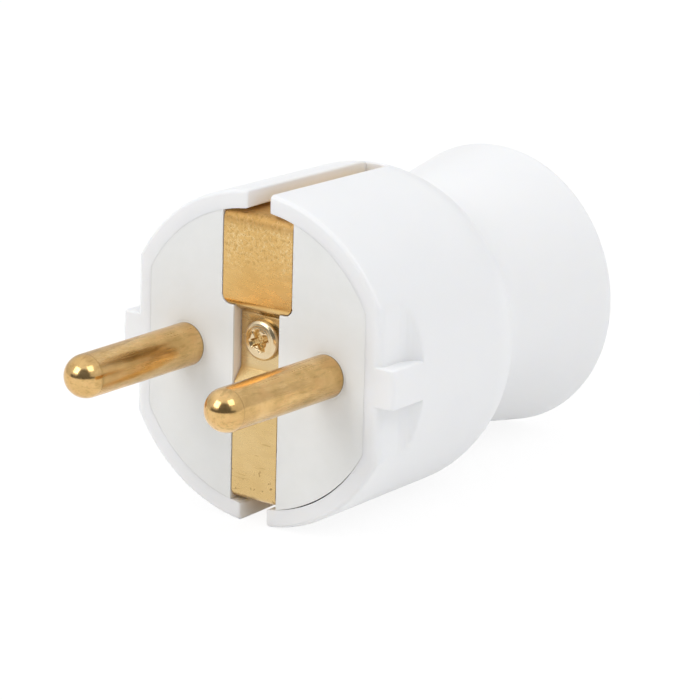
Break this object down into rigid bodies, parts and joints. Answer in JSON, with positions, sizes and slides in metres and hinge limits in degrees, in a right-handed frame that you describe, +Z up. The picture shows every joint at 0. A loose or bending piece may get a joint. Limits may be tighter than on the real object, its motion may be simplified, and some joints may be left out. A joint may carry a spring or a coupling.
{
  "type": "type F mains plug",
  "caption": "Straight rewirable earthed mains plug: round brass pins, a folded earth strap with side contacts, a white sleeve with guide ribs and a flared bell grip.",
  "frame": {"origin": "centre of the engagement face, midway between the pins", "axes": "+Y back along the body's axis, away from the pins; +X right as seen from the pins' side; +Z up, towards the strap's wide pad"},
  "size_m": [0.037, 0.0635, 0.0368],
  "materials": {
    "housing": "gloss white moulding",
    "carrier": "semi-gloss white moulding",
    "brass": "turned, lightly polished",
    "strap_brass": "rolled sheet, stamped",
    "screw_brass": "bright yellow plated",
    "steel": "zinc plated"
  },
  "bodies": {
    "root": {"housing": "housing", "pin_carrier": "carrier", "left_pin": "brass", "right_pin": "brass", "pin_terminal_screws": "steel", "earth_strap": "strap_brass", "earth_terminal_nut": "brass", "earth_clamp_washer": "brass", "earth_terminal_screw": "steel", "assembly_screw": "screw_brass", "threaded_insert": "brass", "cord_clamp_bar": "carrier", "cord_clamp_screws": "steel"}
  },
  "joints": []
}
